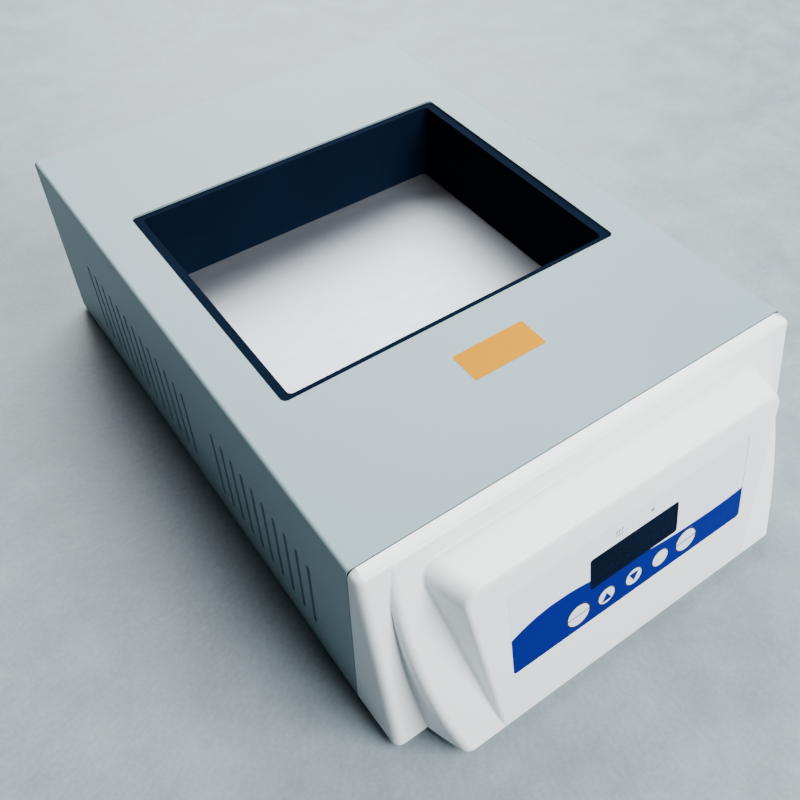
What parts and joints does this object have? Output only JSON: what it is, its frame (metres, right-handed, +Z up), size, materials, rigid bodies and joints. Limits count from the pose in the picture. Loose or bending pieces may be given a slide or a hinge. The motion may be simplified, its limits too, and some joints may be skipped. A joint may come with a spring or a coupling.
{
  "type": "dry bath incubator",
  "caption": "Bench heater for sample tubes: a slotted sheet metal case with an open block well and a slanted moulded control panel.",
  "frame": {"origin": "on the bench, under the middle of the bounding box", "axes": "+X to the operator's right, +Y towards the rear wall with the power inlet, +Z up; the control panel faces -Y"},
  "size_m": [0.25, 0.3916, 0.1151],
  "materials": {
    "bezel_plastic": "fine moulded texture",
    "black_plastic": "satin",
    "blade_metal": "nickel plated",
    "board_laminate": "solder mask",
    "case_paint": "fine textured powder coat",
    "coil_tape": "tape wrap",
    "core_steel": "laminated",
    "dark_window": "smoked gloss",
    "earth_brass": "bright",
    "foot_rubber": "matte",
    "fuse_metal": "plated",
    "heater_silicone": "matte",
    "insulation_felt": "fibrous",
    "key_plastic": "satin",
    "lamp_plastic": "translucent",
    "liner_black": "semi gloss",
    "overlay_film": "printed film",
    "patch_vinyl": "satin vinyl",
    "plate_aluminium": "clear anodised",
    "probe_steel": "bright",
    "rocker_plastic": "gloss",
    "screw_steel": "zinc plated",
    "sink_metal": "black anodised",
    "terminal_plastic": "satin",
    "thermostat_metal": "bright",
    "zinc_sheet": "zinc plated"
  },
  "bodies": {
    "housing": {"amber_patch": "patch_vinyl", "base_pan": "zinc_sheet", "bezel_screws": "screw_steel", "board_screws": "screw_steel", "case_cover": "case_paint", "clamp_plate": "plate_aluminium", "clamp_screws": "screw_steel", "control_board": "board_laminate", "control_overlay": "overlay_film", "core_screws": "screw_steel", "digit_module": "black_plastic", "display_window": "dark_window", "earth_stud": "earth_brass", "foot_screws": "screw_steel", "front_bezel": "bezel_plastic", "front_bulkhead": "zinc_sheet", "heat_sink": "sink_metal", "heater_mat": "heater_silicone", "heating_plate": "plate_aluminium", "indicator_lamps": "lamp_plastic", "inlet_blades": "blade_metal", "inlet_screws": "screw_steel", "insulation_pad": "insulation_felt", "insulation_tray": "zinc_sheet", "key_switches": "black_plastic", "plate_standoffs": "screw_steel", "power_board": "board_laminate", "power_board_screws": "screw_steel", "power_inlet": "black_plastic", "rear_panel": "case_paint", "rear_screws": "screw_steel", "rubber_feet": "foot_rubber", "safety_thermostat": "thermostat_metal", "standoff_screws": "screw_steel", "switch_shell": "black_plastic", "temperature_probe": "probe_steel", "terminal_block": "terminal_plastic", "transformer_coil": "coil_tape", "transformer_core": "core_steel", "triac": "black_plastic", "well_liner": "liner_black"},
    "set_key": {"key_set": "key_plastic"},
    "up_key": {"key_up": "key_plastic"},
    "down_key": {"key_down": "key_plastic"},
    "shift_key": {"key_shift": "key_plastic"},
    "start_key": {"key_start": "key_plastic"},
    "rocker": {"switch_rocker": "rocker_plastic"},
    "drawer": {"fuse_drawer": "black_plastic", "fuses": "fuse_metal"}
  },
  "joints": [
    {"name": "set_key_press", "type": "slide", "parent": "housing", "child": "set_key", "axis": [0, 0.9781, -0.2079], "range_m": [0, 0.0005], "stiffness_N_per_m": 400, "springref_m": -0.0005},
    {"name": "up_key_press", "type": "slide", "parent": "housing", "child": "up_key", "axis": [0, 0.9781, -0.2079], "range_m": [0, 0.0005], "stiffness_N_per_m": 400, "springref_m": -0.0005},
    {"name": "down_key_press", "type": "slide", "parent": "housing", "child": "down_key", "axis": [0, 0.9781, -0.2079], "range_m": [0, 0.0005], "stiffness_N_per_m": 400, "springref_m": -0.0005},
    {"name": "shift_key_press", "type": "slide", "parent": "housing", "child": "shift_key", "axis": [0, 0.9781, -0.2079], "range_m": [0, 0.0005], "stiffness_N_per_m": 400, "springref_m": -0.0005},
    {"name": "start_key_press", "type": "slide", "parent": "housing", "child": "start_key", "axis": [0, 0.9781, -0.2079], "range_m": [0, 0.0005], "stiffness_N_per_m": 400, "springref_m": -0.0005},
    {"name": "rocker_tilt", "type": "hinge", "parent": "housing", "child": "rocker", "pos_m": [0.022, 0.19041, 0.062], "axis": [1, 0, 0], "range_deg": [-16, 0]},
    {"name": "fuse_drawer_slide", "type": "slide", "parent": "housing", "child": "drawer", "axis": [0, 1, 0], "range_m": [0, 0.02]}
  ]
}
